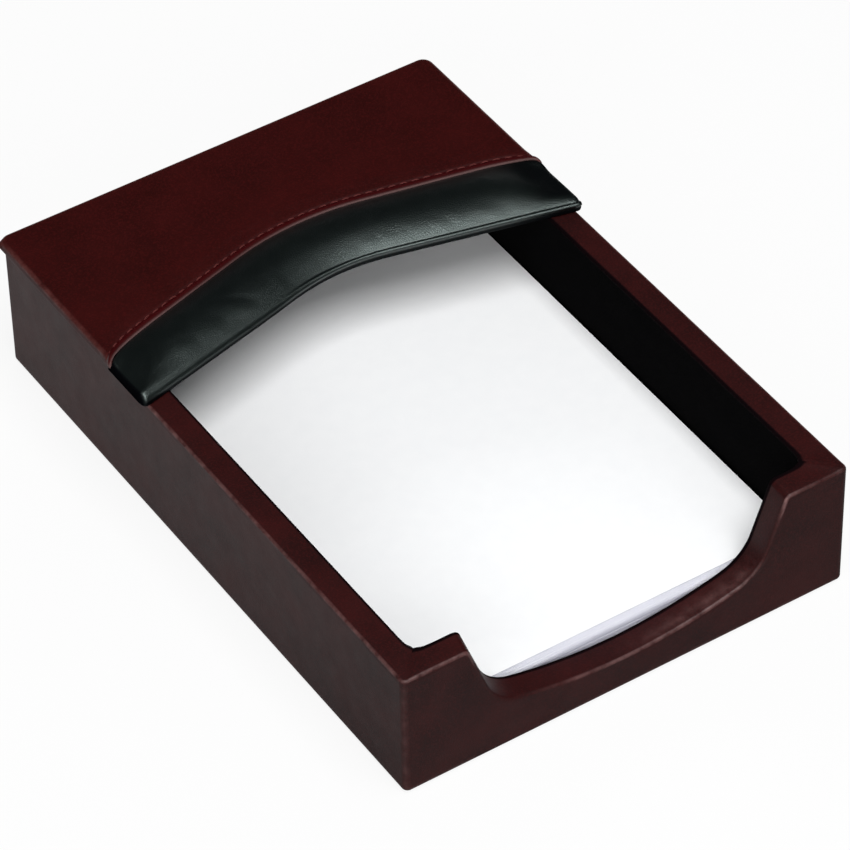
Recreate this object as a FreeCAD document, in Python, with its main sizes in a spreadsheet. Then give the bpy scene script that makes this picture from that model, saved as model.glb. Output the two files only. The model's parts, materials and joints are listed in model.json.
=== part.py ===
"""Open memo tray for loose 4 x 6 inch sheets: a leather-covered board box with a thumb notch in front
and a fixed cover over its rear part, whose front edge is a padded, arched lip.

Frame: millimetres, +Z up, the notched wall at -Y. The origin lies in the resting plane, under the
middle of the four walls.
"""
import FreeCAD, Part
import Sketcher
import math
import os
from types import SimpleNamespace

# Driving dimensions, in millimetres and degrees.
DRIVING = {
    # the sheets, and the room that the tray leaves around them
    "sheet_width": 101.6,
    "sheet_length": 152.4,
    "stack_height": 8.4,
    "sheet_shift": 2.0,
    "sheet_side_gap": 2.5,
    "sheet_front_gap": 0.9,
    "sheet_rear_gap": 7.1,
    # the walls and what covers them
    "wall_top": 35.6,
    "leather": 0.8,
    "wall_board": 5.9,
    "lining": 0.5,
    "arris": 0.6,
    # the bottom
    "felt": 1.1,
    "felt_proud": 0.3,
    "felt_gap": 0.3,
    "base_turn_in": 12.0,
    "base_board": 3.0,
    # the thumb notch in the front wall
    "notch_top_half": 43.2,
    "notch_low": 9.7,
    "notch_floor_radius": 115.0,
    "notch_corner_radius": 12.0,
    "notch_side_angle": 20.0,
    # the cover
    "overhang": 1.0,
    "cover_board": 1.5,
    "cover_corner": 3.0,
    "cover_depth": 55.3,
    # the padded lip
    "arch_radius": 58.0,
    "arch_angle": 13.8,
    "lip_width": 18.0,
    "lip_rise": 0.6,
    "nose_padding": 2.0,
    "nose_round": 1.2,
    # the seam
    "stitch_inset": 2.4,
    "stitch_pitch": 3.0,
    "stitch_length": 2.0,
    "stitch_width": 0.5,
    "stitch_height": 0.3,
    "stitch_end_gap": 2.0,
}

OVERSHOOT = 2.0  # how far a cutting outline runs past the solid that it cuts


class Size:
    """A size that holds its value and the sheet expression that gives it."""

    def __init__(self, value, text):
        self.value = value
        self.text = text

    def __str__(self):
        return self.text

    def __add__(self, other):
        return Size(self.value + number(other), f"({self} + {other})")

    def __sub__(self, other):
        return Size(self.value - number(other), f"({self} - {other})")

    def __rsub__(self, other):
        return Size(number(other) - self.value, f"({other} - {self})")

    def __mul__(self, other):
        return Size(self.value * number(other), f"({self} * {other})")

    def __rmul__(self, other):
        return Size(number(other) * self.value, f"({other} * {self})")

    def __truediv__(self, other):
        return Size(self.value / number(other), f"({self} / {other})")

    def __neg__(self):
        return Size(-self.value, f"(-1 * {self})")


def number(value):
    """The plain number in a size, or the number itself."""
    return value.value if isinstance(value, Size) else value


def cosine(angle):
    return Size(math.cos(math.radians(angle.value)), f"cos({angle})")


def tangent(angle):
    return Size(math.tan(math.radians(angle.value)), f"tan({angle})")


def make_sheet(document):
    """Write the driving dimensions to the spreadsheet and return one named size for each."""
    sheet = document.addObject("Spreadsheet::Sheet", "Sizes")
    for row, (alias, value) in enumerate(DRIVING.items(), start=1):
        sheet.set(f"A{row}", alias)
        sheet.set(f"B{row}", str(value))
        sheet.setAlias(f"B{row}", alias)
    document.recompute()
    return SimpleNamespace(**{alias: Size(sheet.get(alias), f"Sizes.{alias}") for alias in DRIVING})


doc = FreeCAD.newDocument("memo_tray")
s = make_sheet(doc)

# Sizes that several pieces share, all worked out from the driving ones.
ZERO = Size(0.0, "0")
WALL = s.leather + s.wall_board + s.lining
BOX_WIDTH = s.sheet_width + (s.sheet_side_gap + WALL) * 2
BOX_LENGTH = s.sheet_length + s.sheet_front_gap + s.sheet_rear_gap + WALL * 2
HALF_WIDTH = BOX_WIDTH / 2
HALF_LENGTH = BOX_LENGTH / 2
BASE_LOW = s.felt
BASE_TOP = s.felt + s.base_board
FLOOR = BASE_TOP + s.lining
BOARD_TOP = s.wall_top - s.leather
COVER_HALF = HALF_WIDTH + s.overhang
COVER_TURN_IN = WALL + s.overhang
COVER_THICK = s.leather * 2 + s.cover_board
LIP_THICK = COVER_THICK + s.lip_rise
COVER_REAR = HALF_LENGTH + s.overhang


# --- helpers ---------------------------------------------------------------------------------------

def new_body(label, x=ZERO, y=ZERO, z=ZERO, turn=0):
    """A body with its own label, at (x, y, z) in the part's frame and turned about +Z by whole degrees."""
    body = doc.addObject("PartDesign::Body", label)
    body.Label = label
    body.Placement = FreeCAD.Placement(
        FreeCAD.Vector(x.value, y.value, z.value),
        FreeCAD.Rotation(FreeCAD.Vector(0, 0, 1), turn),
    )
    for axis, place in (("x", x), ("y", y), ("z", z)):
        body.setExpression(f"Placement.Base.{axis}", place.text)
    return body


def new_sketch(body, plane, lift=ZERO):
    """A sketch on one of the body's own origin planes, raised along that plane's normal."""
    sketch = body.newObject("Sketcher::SketchObject", "Outline")
    support = [feature for feature in body.Origin.OriginFeatures if feature.Role == plane][0]
    sketch.AttachmentSupport = [(support, "")]
    sketch.MapMode = "FlatFace"
    sketch.AttachmentOffset = FreeCAD.Placement(FreeCAD.Vector(0, 0, lift.value), FreeCAD.Rotation())
    sketch.setExpression("AttachmentOffset.Base.z", lift.text)
    return sketch


def bind(sketch, kind, where, size):
    """Add one dimension to a sketch and tie it to the sheet."""
    value = math.radians(size.value) if kind == "Angle" else size.value
    index = sketch.addConstraint(Sketcher.Constraint(kind, *where, value))
    sketch.setExpression(f"Constraints[{index}]", size.text)


def line(sketch, start, end):
    """Add a straight edge between two (x, y) pairs and return its index."""
    points = [FreeCAD.Vector(number(x), number(y), 0) for x, y in (start, end)]
    return sketch.addGeometry(Part.LineSegment(*points), False)


def join(sketch, first, second):
    """The end of the first edge is the start of the second."""
    sketch.addConstraint(Sketcher.Constraint("Coincident", first, 2, second, 1))


def place_corner(sketch, edge, end, corner):
    """Fix one end of an edge at an (x, y) pair of sizes."""
    bind(sketch, "DistanceX", (edge, end), corner[0])
    bind(sketch, "DistanceY", (edge, end), corner[1])


def polygon(sketch, corners):
    """A closed outline of straight edges through the corners."""
    following = corners[1:] + corners[:1]
    edges = [line(sketch, start, end) for start, end in zip(corners, following)]
    for edge, after in zip(edges, edges[1:] + edges[:1]):
        join(sketch, edge, after)
    for edge, corner in zip(edges, corners):
        place_corner(sketch, edge, 1, corner)


def rectangle(sketch, left, right, low, high):
    polygon(sketch, [(left, low), (right, low), (right, high), (left, high)])


def add_feature(body, kind, sketch, length=None, reverse=False):
    """Pad or pocket a sketch: by a length, or with none right through to both sides."""
    feature = body.newObject(f"PartDesign::{kind}", kind)
    feature.Profile = sketch
    feature.Reversed = reverse
    if length is None:
        feature.Type = "ThroughAll"
        feature.Midplane = True
    else:
        feature.Length = length.value
        feature.setExpression("Length", length.text)
    doc.recompute()
    return feature


def cut(body, sketch, length=None, reverse=False):
    """Pocket a sketch, and make sure that it took material away."""
    before = body.Shape.Volume
    add_feature(body, "Pocket", sketch, length, reverse)
    if not body.Shape.Volume < before - 1e-6:
        raise RuntimeError(f"a pocket in {body.Label} cuts nothing")


def round_edges(body, radius, wanted):
    """Fillet the edges of the body's tip that the test picks, in the body's own coordinates."""
    tip = body.Tip
    names = [f"Edge{index}" for index, edge in enumerate(tip.Shape.Edges, start=1) if wanted(edge)]
    if not names:
        raise RuntimeError(f"no edge to round on {body.Label}")
    fillet = body.newObject("PartDesign::Fillet", "Fillet")
    fillet.Base = (tip, names)
    fillet.Radius = radius.value
    fillet.setExpression("Radius", radius.text)
    doc.recompute()


def near(first, second):
    return abs(first - second) < 1e-3


def new_box(label, width, depth, height, x, y, z):
    """A plain block, centred across X, from y to y + depth and from z to z + height."""
    block = doc.addObject("Part::Box", label)
    block.Label = label
    for name, size in (("Length", width), ("Width", depth), ("Height", height)):
        block.setExpression(name, size.text)
    for axis, place in (("x", x - width / 2), ("y", y), ("z", z)):
        block.setExpression(f"Placement.Base.{axis}", place.text)


# --- the arch: the shared curve of the lip, its layers and the seam -------------------------------

def arch_numbers(inset):
    """Where the arch runs, in the cover's frame (y = 0 at its rear edge), moved back by the inset.

    The arch is an arc about one centre on the middle line, met at both ends by straight flanks that
    leave it at the arch angle. Returns the centre's y, the radius and the flank's y at a given x.
    """
    centre = -s.cover_depth - s.arch_radius
    radius = s.arch_radius + inset
    angle = math.radians(s.arch_angle.value)
    turn = (radius.value * math.sin(angle), centre.value + radius.value * math.cos(angle))

    def flank(x):
        return turn[1] - (x - turn[0]) * math.tan(angle)

    return centre, radius, turn, flank


def arch_edges(sketch, inset, half):
    """Draw the arch across the sketch from x = -half to x = +half: left flank, arc, right flank."""
    centre, radius, turn, flank = arch_numbers(inset)
    left = line(sketch, (-half.value, flank(half.value)), (-turn[0], turn[1]))
    circle = Part.Circle(FreeCAD.Vector(0, centre.value, 0), FreeCAD.Vector(0, 0, 1), radius.value)
    angle = math.radians(s.arch_angle.value)
    arc = sketch.addGeometry(Part.ArcOfCircle(circle, math.pi / 2 - angle, math.pi / 2 + angle), False)
    right = line(sketch, turn, (half.value, flank(half.value)))
    # an arc runs anticlockwise, from its right end (1) to its left end (2)
    sketch.addConstraint(Sketcher.Constraint("PointOnObject", arc, 3, -2))
    bind(sketch, "DistanceY", (arc, 3), centre)
    bind(sketch, "Radius", (arc,), radius)
    sketch.addConstraint(Sketcher.Constraint("Tangent", left, 2, arc, 2))
    sketch.addConstraint(Sketcher.Constraint("Tangent", arc, 1, right, 1))
    bind(sketch, "Angle", (left,), s.arch_angle)
    bind(sketch, "Angle", (right,), -s.arch_angle)
    bind(sketch, "DistanceX", (left, 1), -half)
    bind(sketch, "DistanceX", (right, 2), half)
    return left, right


def arch_outline(sketch, inset, half, rear):
    """A closed outline: the arch in front, straight sides at x = +-half and a straight edge at y = rear."""
    left, right = arch_edges(sketch, inset, half)
    flank = arch_numbers(inset)[3](half.value)
    east = line(sketch, (half, flank), (half, rear))
    north = line(sketch, (half, rear), (-half, rear))
    west = line(sketch, (-half, rear), (-half, flank))
    for first, second in ((right, east), (east, north), (north, west), (west, left)):
        join(sketch, first, second)
    place_corner(sketch, east, 2, (half, rear))
    place_corner(sketch, north, 2, (-half, rear))


def band_outline(sketch, front, rear, half):
    """A closed outline between two arches, with straight ends at x = +-half."""
    left_front, right_front = arch_edges(sketch, front, half)
    left_rear, right_rear = arch_edges(sketch, rear, half)
    y_front = arch_numbers(front)[3](half.value)
    y_rear = arch_numbers(rear)[3](half.value)
    for x, front_edge, rear_edge, front_end in (
        (-half, left_front, left_rear, 1),
        (half, right_front, right_rear, 2),
    ):
        end = line(sketch, (x, y_front), (x, y_rear))
        sketch.addConstraint(Sketcher.Constraint("Coincident", end, 1, front_edge, front_end))
        sketch.addConstraint(Sketcher.Constraint("Coincident", end, 2, rear_edge, front_end))


# --- the thumb notch -------------------------------------------------------------------------------

def notch_points(inset):
    """The notch's centres and tangent points in (x, z), for its right half, moved out by the inset.

    The notch is a wide shallow arc, two round corners and two straight sides that lean outwards. Each
    corner touches the arc from inside and the side line, which fixes its centre.
    """
    lean = math.radians(s.notch_side_angle.value)
    normal = (math.cos(lean), -math.sin(lean))
    wide = s.notch_floor_radius.value
    corner = s.notch_corner_radius.value
    floor_centre = (0.0, s.notch_low.value + wide)
    side = normal[0] * s.notch_top_half.value + normal[1] * s.wall_top.value
    reach = (side - corner - normal[1] * floor_centre[1]) / (wide - corner)
    bearing = math.asin(reach) - lean
    corner_centre = (
        (wide - corner) * math.sin(bearing),
        floor_centre[1] - (wide - corner) * math.cos(bearing),
    )
    floor_end = (
        (wide + inset.value) * math.sin(bearing),
        floor_centre[1] - (wide + inset.value) * math.cos(bearing),
    )
    side_start = (
        corner_centre[0] + (corner + inset.value) * normal[0],
        corner_centre[1] + (corner + inset.value) * normal[1],
    )
    return floor_centre, corner_centre, floor_end, side_start


def side_at(inset, below_top):
    """Half the notch's width at a depth below the wall's top, as a size."""
    return s.notch_top_half + inset / cosine(s.notch_side_angle) - below_top * tangent(s.notch_side_angle)


def arc_between(sketch, centre, radius, start, end):
    """Add the anticlockwise arc from start to end about a centre."""
    angles = [math.atan2(point[1] - centre[1], point[0] - centre[0]) for point in (start, end)]
    circle = Part.Circle(FreeCAD.Vector(*centre, 0), FreeCAD.Vector(0, 0, 1), radius)
    return sketch.addGeometry(Part.ArcOfCircle(circle, *angles), False)


def mirrored(point):
    return (-point[0], point[1])


def notch_edges(sketch, inset, below_top):
    """Draw the notch from its left top end to its right one, with both ends below_top under the wall's
    top. Returns the two side edges, the left one running down and the right one running up."""
    floor_centre, corner_centre, floor_end, side_start = notch_points(inset)
    top = (side_at(inset, below_top), s.wall_top - below_top)
    corner_radius = s.notch_corner_radius + inset
    floor_radius = s.notch_floor_radius + inset
    left = line(sketch, (-top[0], top[1]), mirrored(side_start))
    left_corner = arc_between(
        sketch, mirrored(corner_centre), corner_radius.value, mirrored(side_start), mirrored(floor_end)
    )
    floor = arc_between(sketch, floor_centre, floor_radius.value, mirrored(floor_end), floor_end)
    right_corner = arc_between(sketch, corner_centre, corner_radius.value, floor_end, side_start)
    right = line(sketch, side_start, top)
    chain = (left, left_corner, floor, right_corner, right)
    for edge, after in zip(chain, chain[1:]):
        sketch.addConstraint(Sketcher.Constraint("Tangent", edge, 2, after, 1))
    sketch.addConstraint(Sketcher.Constraint("PointOnObject", floor, 3, -2))
    bind(sketch, "DistanceY", (floor, 3), s.notch_low + s.notch_floor_radius)
    bind(sketch, "Radius", (floor,), floor_radius)
    bind(sketch, "Radius", (left_corner,), corner_radius)
    bind(sketch, "Radius", (right_corner,), corner_radius)
    bind(sketch, "Angle", (left,), s.notch_side_angle - 90)
    bind(sketch, "Angle", (right,), 90 - s.notch_side_angle)
    place_corner(sketch, left, 1, (-top[0], top[1]))
    place_corner(sketch, right, 2, top)
    return left, right


def close_over(sketch, left, right, corners):
    """Close a notch outline with straight edges from its right top end through the corners."""
    ends = [(sketch.Geometry[right].EndPoint.x, sketch.Geometry[right].EndPoint.y)]
    ends += corners
    ends += [(sketch.Geometry[left].StartPoint.x, sketch.Geometry[left].StartPoint.y)]
    edges = [line(sketch, start, end) for start, end in zip(ends, ends[1:])]
    chain = [right] + edges + [left]
    for edge, after in zip(chain, chain[1:]):
        join(sketch, edge, after)
    for edge, corner in zip(edges, corners):
        place_corner(sketch, edge, 2, corner)


def cut_notch(body, inset):
    """Cut the notch right through a piece of the front wall."""
    sketch = new_sketch(body, "XZ_Plane")
    left, right = notch_edges(sketch, inset, ZERO)
    above = s.wall_top + OVERSHOOT
    close_over(sketch, left, right, [(side_at(inset, ZERO), above), (-side_at(inset, ZERO), above)])
    cut(body, sketch)


# --- the walls -------------------------------------------------------------------------------------
# Each wall piece is drawn in its wall's frame: X along the wall, y = 0 at the leather's outer face and
# +Y into the tray. A placement carries it to its side of the box.

SIDES = {
    # side: (run of the leather, wall's outer face, turn about +Z)
    "front": (BOX_WIDTH, (ZERO, -HALF_LENGTH), 0),
    "rear": (BOX_WIDTH, (ZERO, HALF_LENGTH), 180),
    "left": (BOX_LENGTH, (-HALF_WIDTH, ZERO), -90),
    "right": (BOX_LENGTH, (HALF_WIDTH, ZERO), 90),
}


def wall_body(side, layer):
    place, turn = SIDES[side][1:]
    return new_body(f"{side}_wall_{layer}", place[0], place[1], ZERO, turn)


def wall_slab(side, layer, run, near_face, thickness, low):
    """A flat layer of one wall, from its near face inwards and from low up to the leather's top strip."""
    body = wall_body(side, layer)
    sketch = new_sketch(body, "XY_Plane", low)
    rectangle(sketch, -run / 2, run / 2, near_face, near_face + thickness)
    add_feature(body, "Pad", sketch, BOARD_TOP - low)
    return body


def wall_board(side):
    """The board in one wall. The front and rear boards run the full width between the leathers, and the
    side boards are butted between them."""
    run = SIDES[side][0] - s.leather * 2
    if side in ("left", "right"):
        run = run - s.wall_board * 2
    body = wall_slab(side, "board", run, s.leather, s.wall_board, BASE_TOP)
    if side == "front":
        cut_notch(body, s.leather)


def wall_lining(side):
    """The dark lining on one wall's inner face, with the side linings butted between the end ones."""
    run = SIDES[side][0] - (s.leather + s.wall_board) * 2
    if side in ("left", "right"):
        run = run - s.lining * 2
    body = wall_slab(side, "lining", run, s.leather + s.wall_board, s.lining, BASE_TOP)
    if side == "front":
        cut_notch(body, s.leather)


def wall_leather(side):
    """The leather of one wall: up the outer face, over the top to the lining, and turned in under the
    base. Its ends are mitred to the next walls' leather."""
    run = SIDES[side][0]
    body = wall_body(side, "leather")
    footprint = new_sketch(body, "XY_Plane", s.felt_proud)
    polygon(footprint, [
        (-run / 2, ZERO),
        (run / 2, ZERO),
        (run / 2 - s.base_turn_in, s.base_turn_in),
        (-run / 2 + s.base_turn_in, s.base_turn_in),
    ])
    add_feature(body, "Pad", footprint, s.wall_top - s.felt_proud)
    if side == "front":
        hollow_notched_leather(body)
    else:
        hollow_plain_leather(body)
    round_edges(body, s.arris, is_top_outer_arris)


def hollow_plain_leather(body):
    """Cut away all but the outer sheet, the top strip and the turn-in of a straight wall's leather."""
    section = new_sketch(body, "YZ_Plane")
    inside = s.base_turn_in + OVERSHOOT
    above = s.wall_top + OVERSHOOT
    polygon(section, [
        (s.leather, BASE_LOW),
        (inside, BASE_LOW),
        (inside, above),
        (WALL, above),
        (WALL, BOARD_TOP),
        (s.leather, BOARD_TOP),
    ])
    cut(body, section)


def hollow_notched_leather(body):
    """The same for the front wall, where the leather also lines the notch's edge."""
    cut_notch(body, ZERO)
    end = HALF_WIDTH + OVERSHOOT
    # the board's and the lining's room behind the outer sheet, under the top strip and the notch's edge
    room = new_sketch(body, "XZ_Plane", -s.leather)
    left, right = notch_edges(room, s.leather, s.leather)
    close_over(room, left, right, [(end, BOARD_TOP), (end, BASE_LOW), (-end, BASE_LOW), (-end, BOARD_TOP)])
    cut(body, room, s.base_turn_in)
    # everything past the wall's inner face, above the turn-in
    inside = new_sketch(body, "XZ_Plane", -WALL)
    rectangle(inside, -end, end, BASE_LOW, s.wall_top + OVERSHOOT)
    cut(body, inside, s.base_turn_in)


def is_top_outer_arris(edge):
    """True for the straight edges along the top of a wall leather's outer face."""
    centre = edge.BoundBox.Center
    flat = near(edge.BoundBox.YLength, 0) and near(edge.BoundBox.ZLength, 0)
    return flat and near(centre.y, 0) and near(centre.z, s.wall_top.value)


# --- the bottom ------------------------------------------------------------------------------------

def base_board():
    """The bottom board, which the four wall boards stand on."""
    depth = BOX_LENGTH - s.leather * 2
    new_box("base_board", BOX_WIDTH - s.leather * 2, depth, s.base_board, ZERO, -depth / 2, BASE_LOW)


def base_felt():
    """The felt on the underside, between the leather turn-ins and a little proud of them."""
    margin = (s.base_turn_in + s.felt_gap) * 2
    depth = BOX_LENGTH - margin
    new_box("base_felt", BOX_WIDTH - margin, depth, s.felt, ZERO, -depth / 2, ZERO)


def floor_lining():
    """The dark lining on the tray's floor, between the wall linings."""
    depth = BOX_LENGTH - WALL * 2
    new_box("floor_lining", BOX_WIDTH - WALL * 2, depth, s.lining, ZERO, -depth / 2, BASE_TOP)


# --- the cover and its lip -------------------------------------------------------------------------
# Each cover piece is drawn in the cover's frame: y = 0 at the rear edge, z = 0 at the underside, which
# lies on the walls' leather.

def cover_body(label):
    return new_body(label, ZERO, COVER_REAR, s.wall_top)


def is_rear_corner(half, inset):
    """A test for the two upright edges at the rear corners of a cover piece."""
    def test(edge):
        centre = edge.BoundBox.Center
        upright = near(edge.BoundBox.XLength, 0) and near(edge.BoundBox.YLength, 0)
        return upright and near(abs(centre.x), half.value) and near(centre.y, -inset.value)
    return test


def cover_board():
    """The stiff board of the cover, which also carries the lip's padding."""
    body = cover_body("cover_board")
    sketch = new_sketch(body, "XY_Plane", s.leather)
    half = COVER_HALF - s.leather
    arch_outline(sketch, s.leather + s.nose_padding, half, -s.leather)
    add_feature(body, "Pad", sketch, s.cover_board)
    round_edges(body, s.cover_corner - s.leather, is_rear_corner(half, s.leather))


def cover_leather():
    """The leather over the rear part of the cover: its top, its three outer edges and the turn-ins that
    lie on the walls. It ends in front at the arched seam."""
    body = cover_body("cover_leather")
    outline = new_sketch(body, "XY_Plane")
    arch_outline(outline, s.lip_width, COVER_HALF, ZERO)
    add_feature(body, "Pad", outline, COVER_THICK)
    board_room = new_sketch(body, "XY_Plane", s.leather)
    half = COVER_HALF - s.leather
    arch_outline(board_room, s.lip_width - OVERSHOOT, half, -s.leather)
    cut(body, board_room, s.cover_board, reverse=True)
    round_edges(body, s.cover_corner - s.leather, is_rear_corner(half, s.leather))
    lining_room = new_sketch(body, "XY_Plane")
    arch_outline(lining_room, s.lip_width - OVERSHOOT, COVER_HALF - COVER_TURN_IN, -COVER_TURN_IN)
    cut(body, lining_room, s.leather, reverse=True)
    round_edges(body, s.cover_corner, is_rear_corner(COVER_HALF, ZERO))


def cover_lining():
    """The dark lining under the cover, between the turn-ins."""
    body = cover_body("cover_lining")
    sketch = new_sketch(body, "XY_Plane", s.leather - s.lining)
    arch_outline(sketch, s.lip_width, COVER_HALF - COVER_TURN_IN, -COVER_TURN_IN)
    add_feature(body, "Pad", sketch, s.lining)


def lip_padding():
    """The lip's foam: a layer on the board and a nose in front of the board's edge."""
    body = cover_body("lip_padding")
    half = COVER_HALF - s.leather
    outline = new_sketch(body, "XY_Plane", s.leather)
    band_outline(outline, s.leather, s.lip_width, half)
    add_feature(body, "Pad", outline, LIP_THICK - s.leather * 2)
    board_room = new_sketch(body, "XY_Plane", s.leather)
    arch_outline(board_room, s.leather + s.nose_padding, half + OVERSHOOT, ZERO)
    cut(body, board_room, s.cover_board, reverse=True)
    round_edges(body, s.nose_round, is_front_edge(s.leather, LIP_THICK - s.leather))


def lip_leather():
    """The leather of the lip: over the foam, round the nose and back under the board as far as the seam."""
    body = cover_body("lip_leather")
    outline = new_sketch(body, "XY_Plane")
    band_outline(outline, ZERO, s.lip_width, COVER_HALF)
    add_feature(body, "Pad", outline, LIP_THICK)
    room = new_sketch(body, "XY_Plane", s.leather)
    arch_outline(room, s.leather, COVER_HALF - s.leather, ZERO)
    cut(body, room, LIP_THICK - s.leather * 2, reverse=True)
    round_edges(body, s.nose_round, is_front_edge(s.leather, LIP_THICK - s.leather))
    round_edges(body, s.nose_round + s.leather, is_front_edge(ZERO, LIP_THICK))
    round_edges(body, s.arris, is_front_edge(ZERO, ZERO))


def is_front_edge(inset, height):
    """A test for the level edges that run along the lip's front arch, moved back by the inset."""
    flank = arch_numbers(inset)[3]

    def test(edge):
        box = edge.BoundBox
        level = near(box.ZLength, 0) and near(box.ZMin, height.value) and box.XLength > 1
        return level and all(near(vertex.Y, flank(abs(vertex.X))) for vertex in edge.Vertexes)
    return test


def seam_stitching():
    """The stitches: small level bars on the cover's leather, evenly spaced along the seam's arch."""
    centre, radius, turn, flank = arch_numbers(s.lip_width + s.stitch_inset)
    angle = math.radians(s.arch_angle.value)
    half_arc = radius.value * angle
    half_run = half_arc + (COVER_HALF.value - s.stitch_end_gap.value - turn[0]) / math.cos(angle)
    count = int(2 * half_run // s.stitch_pitch.value)
    stitches = []
    for index in range(count):
        along = (index - (count - 1) / 2) * s.stitch_pitch.value
        bearing = math.copysign(min(abs(along) / radius.value, angle), along)
        beyond = math.copysign(max(abs(along) - half_arc, 0), along)
        x = radius.value * math.sin(bearing) + beyond * math.cos(angle)
        y = centre.value + radius.value * math.cos(bearing) - abs(beyond) * math.sin(angle)
        bar = Part.makeBox(
            s.stitch_length.value,
            s.stitch_width.value,
            s.stitch_height.value,
            FreeCAD.Vector(-s.stitch_length.value / 2, -s.stitch_width.value / 2, 0),
        )
        bar.Placement = FreeCAD.Placement(
            FreeCAD.Vector(x, y, 0), FreeCAD.Rotation(FreeCAD.Vector(0, 0, 1), -math.degrees(bearing))
        )
        stitches.append(bar)
    group = doc.addObject("Part::Feature", "seam_stitching")
    group.Label = "seam_stitching"
    group.Shape = Part.makeCompound(stitches)
    group.Placement = FreeCAD.Placement(
        FreeCAD.Vector(0, COVER_REAR.value, (s.wall_top + COVER_THICK).value), FreeCAD.Rotation()
    )


# --- the contents ----------------------------------------------------------------------------------

def memo_sheets():
    """The stack of loose sheets, which lies on the floor lining, pushed to the front and to the right."""
    front = -HALF_LENGTH + WALL + s.sheet_front_gap
    new_box("memo_sheets", s.sheet_width, s.sheet_length, s.stack_height, s.sheet_shift, front, FLOOR)


def make_all():
    base_board()
    base_felt()
    floor_lining()
    for side in SIDES:
        wall_board(side)
        wall_lining(side)
        wall_leather(side)
    cover_board()
    cover_leather()
    cover_lining()
    lip_padding()
    lip_leather()
    seam_stitching()
    memo_sheets()
    doc.recompute()


def export_all():
    """Check every object, then write each sub-part to its own STEP file."""
    for item in doc.Objects:
        if "Invalid" in item.State or "Error" in item.State:
            raise RuntimeError(f"{item.Name} did not compute: {item.State}")
        if item.TypeId == "Sketcher::SketchObject" and not item.FullyConstrained:
            raise RuntimeError(f"{item.Name} is not fully constrained")
    kinds = ("PartDesign::Body", "Part::Box", "Part::Feature")
    sub_parts = [item for item in doc.Objects if item.TypeId in kinds]
    for item in sub_parts:
        if item.Shape.isNull() or not item.Shape.isValid() or not item.Shape.Solids:
            raise RuntimeError(f"{item.Label} has no valid solid")
    os.makedirs("parts", exist_ok=True)
    for item in sub_parts:
        item.Shape.exportStep(f"parts/{item.Label}.step")
        box = item.Shape.BoundBox
        print(
            f"{item.Label:22s} solids {len(item.Shape.Solids):3d}  volume {item.Shape.Volume:10.1f}"
            f"  x {box.XMin:7.2f} {box.XMax:7.2f}  y {box.YMin:7.2f} {box.YMax:7.2f}"
            f"  z {box.ZMin:6.2f} {box.ZMax:6.2f}"
        )


make_all()
export_all()
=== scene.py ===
"""A desk tray for loose memo sheets: leather over board, with a padded black lip on its cover.

Shape functions work in millimetres in the row frame: +X right, +Y to the rear, +Z up and z = 0 on the
desk. A mesh is made in metres. Inset means distance in from an outer edge or face.
"""

import json
import math

import bmesh
import bpy
import numpy as np
from mathutils import Matrix, Vector

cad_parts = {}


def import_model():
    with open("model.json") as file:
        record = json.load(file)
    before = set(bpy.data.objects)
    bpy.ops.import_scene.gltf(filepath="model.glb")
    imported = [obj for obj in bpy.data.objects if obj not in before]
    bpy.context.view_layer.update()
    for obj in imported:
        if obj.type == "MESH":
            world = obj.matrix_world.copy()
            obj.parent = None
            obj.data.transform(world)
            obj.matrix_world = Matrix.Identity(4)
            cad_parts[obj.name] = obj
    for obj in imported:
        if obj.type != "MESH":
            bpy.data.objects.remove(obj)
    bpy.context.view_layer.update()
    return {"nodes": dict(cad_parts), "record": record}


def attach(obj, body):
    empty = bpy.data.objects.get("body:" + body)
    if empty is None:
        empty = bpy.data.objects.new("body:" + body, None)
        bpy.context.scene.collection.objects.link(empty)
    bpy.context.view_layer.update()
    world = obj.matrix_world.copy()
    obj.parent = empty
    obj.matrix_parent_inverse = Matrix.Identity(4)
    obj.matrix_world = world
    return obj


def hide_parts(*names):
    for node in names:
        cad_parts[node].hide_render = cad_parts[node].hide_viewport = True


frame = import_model()

MM = 0.001
MERGE = 2e-6  # points of a piece that lie nearer together, in metres, are one

# --- sizes, as the CAD model has them ---------------------------------------------------------------
HALF_WIDTH, HALF_LENGTH = 60.5, 87.4
WALL = 7.2  # a wall's thickness, with its leather and lining
WALL_TOP = 35.6
LEATHER = 0.8
WALL_FOOT = 0.3  # underside of the leather turned in under the base
TURN_IN = 12.0  # how far it is turned in
COVER_HALF, COVER_REAR, COVER_TOP = 61.5, 88.4, 38.7
REAR_CORNER = 3.0  # radius of the cover's rear corners
ARCH_RADIUS, ARCH_CENTRE, ARCH_ANGLE = 58.0, -24.9, math.radians(13.8)
LIP_WIDTH = 18.0
NOTCH_TOP, NOTCH_LOW = 43.2, 9.7  # half its width at the wall's top, and the height of its floor
NOTCH_FLOOR, NOTCH_CORNER, NOTCH_POST = 115.0, 12.0, 2.0  # radii of its floor, its corners and its top
NOTCH_LEAN = math.radians(20.0)  # lean of its sides
SHEET_LEFT, SHEET_RIGHT, SHEET_FRONT, SHEET_REAR = -48.8, 52.8, -79.3, 73.1
STACK_LOW, STACK_TOP = 4.6, 13.0


# --- mesh helpers -----------------------------------------------------------------------------------

def arc(centre, radius, start, end, steps):
    """Points of an arc, both ends included: centre + radius (cos a, sin a), a from start to end degrees."""
    angle = np.radians(np.linspace(start, end, steps + 1))
    return np.stack([centre[0] + radius * np.cos(angle), centre[1] + radius * np.sin(angle)], 1)


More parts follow.
